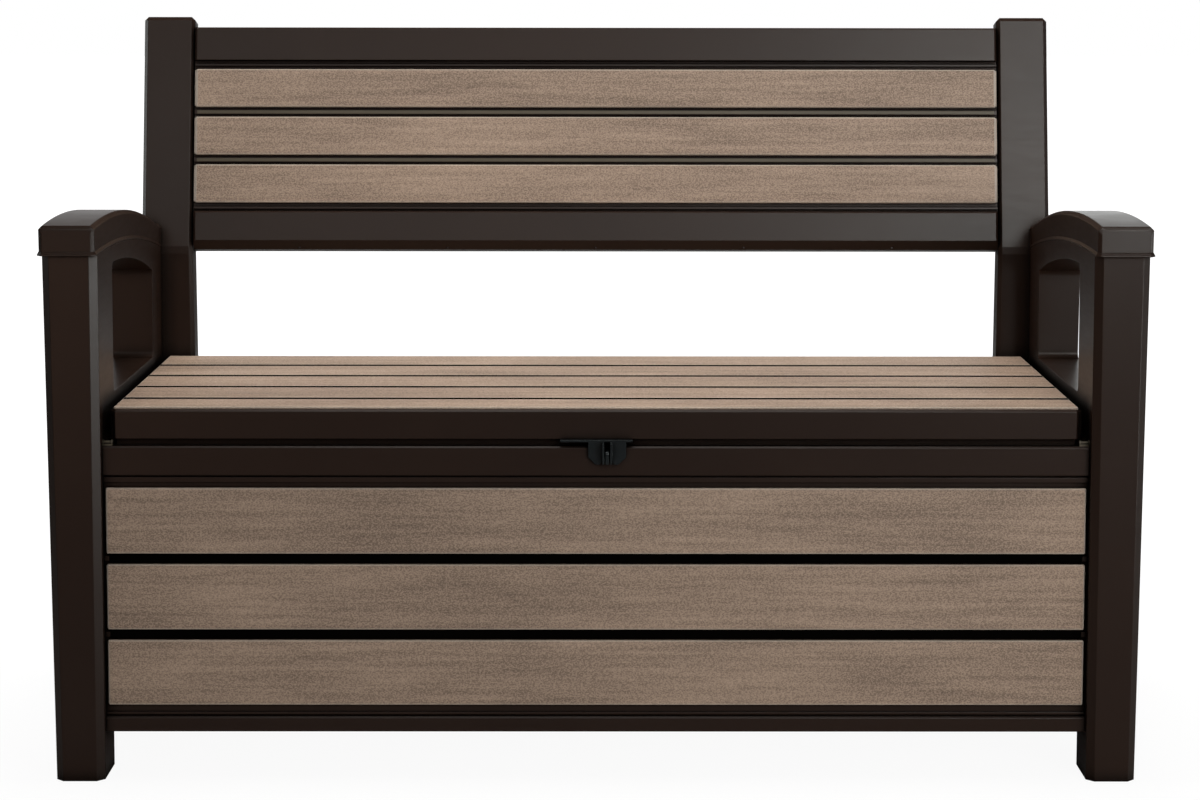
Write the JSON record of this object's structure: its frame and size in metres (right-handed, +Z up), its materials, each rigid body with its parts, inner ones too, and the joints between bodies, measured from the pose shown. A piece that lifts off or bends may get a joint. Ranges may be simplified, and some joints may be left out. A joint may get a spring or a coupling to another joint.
{
  "type": "storage bench",
  "caption": "Two-seat resin storage bench with wood-look planks, a hinged seat lid over a storage box, arched arms and a reclined slatted back",
  "frame": {"origin": "on the floor, under the middle of the bench's bounding box", "axes": "+X to the bench's left-hand arm as seen from the seat, which is the right of the picture, +Y from the front to the back, +Z up"},
  "size_m": [1.31, 0.5996, 0.9039],
  "materials": {
    "dark_resin": "fine satin texture, espresso brown",
    "wood_look_resin": "speckled wood grain, weathered tan",
    "black_lock": "glossy black",
    "steel": "plain zinc-plated steel"
  },
  "bodies": {
    "bench": {"left_side_frame": "dark_resin", "right_side_frame": "dark_resin", "left_arm_cap": "dark_resin", "right_arm_cap": "dark_resin", "left_back_post": "dark_resin", "right_back_post": "dark_resin", "front_leg_plugs": "dark_resin", "rear_leg_plugs": "dark_resin", "front_panel_frame": "dark_resin", "front_plank_1": "wood_look_resin", "front_plank_2": "wood_look_resin", "front_plank_3": "wood_look_resin", "rear_panel": "dark_resin", "floor_panel": "dark_resin", "backrest_frame": "dark_resin", "back_plank_1": "wood_look_resin", "back_plank_2": "wood_look_resin", "back_plank_3": "wood_look_resin", "hinge_brackets": "dark_resin", "hinge_pins": "steel", "hinge_bracket_screws": "steel", "post_bolts": "steel", "backrest_screws": "steel", "lock_staple": "black_lock", "panel_pegs": "dark_resin"},
    "lid": {"lid_frame": "dark_resin", "seat_plank_1": "wood_look_resin", "seat_plank_2": "wood_look_resin", "seat_plank_3": "wood_look_resin", "seat_plank_4": "wood_look_resin", "seat_plank_5": "wood_look_resin", "hinge_leaves": "dark_resin", "hinge_leaf_screws": "steel", "lock_hasp": "black_lock"}
  },
  "joints": [
    {"name": "lid_hinge", "type": "hinge", "parent": "bench", "child": "lid", "pos_m": [0, 0.17295, 0.437], "axis": [-1, 0, 0], "range_deg": [0, 91]}
  ]
}
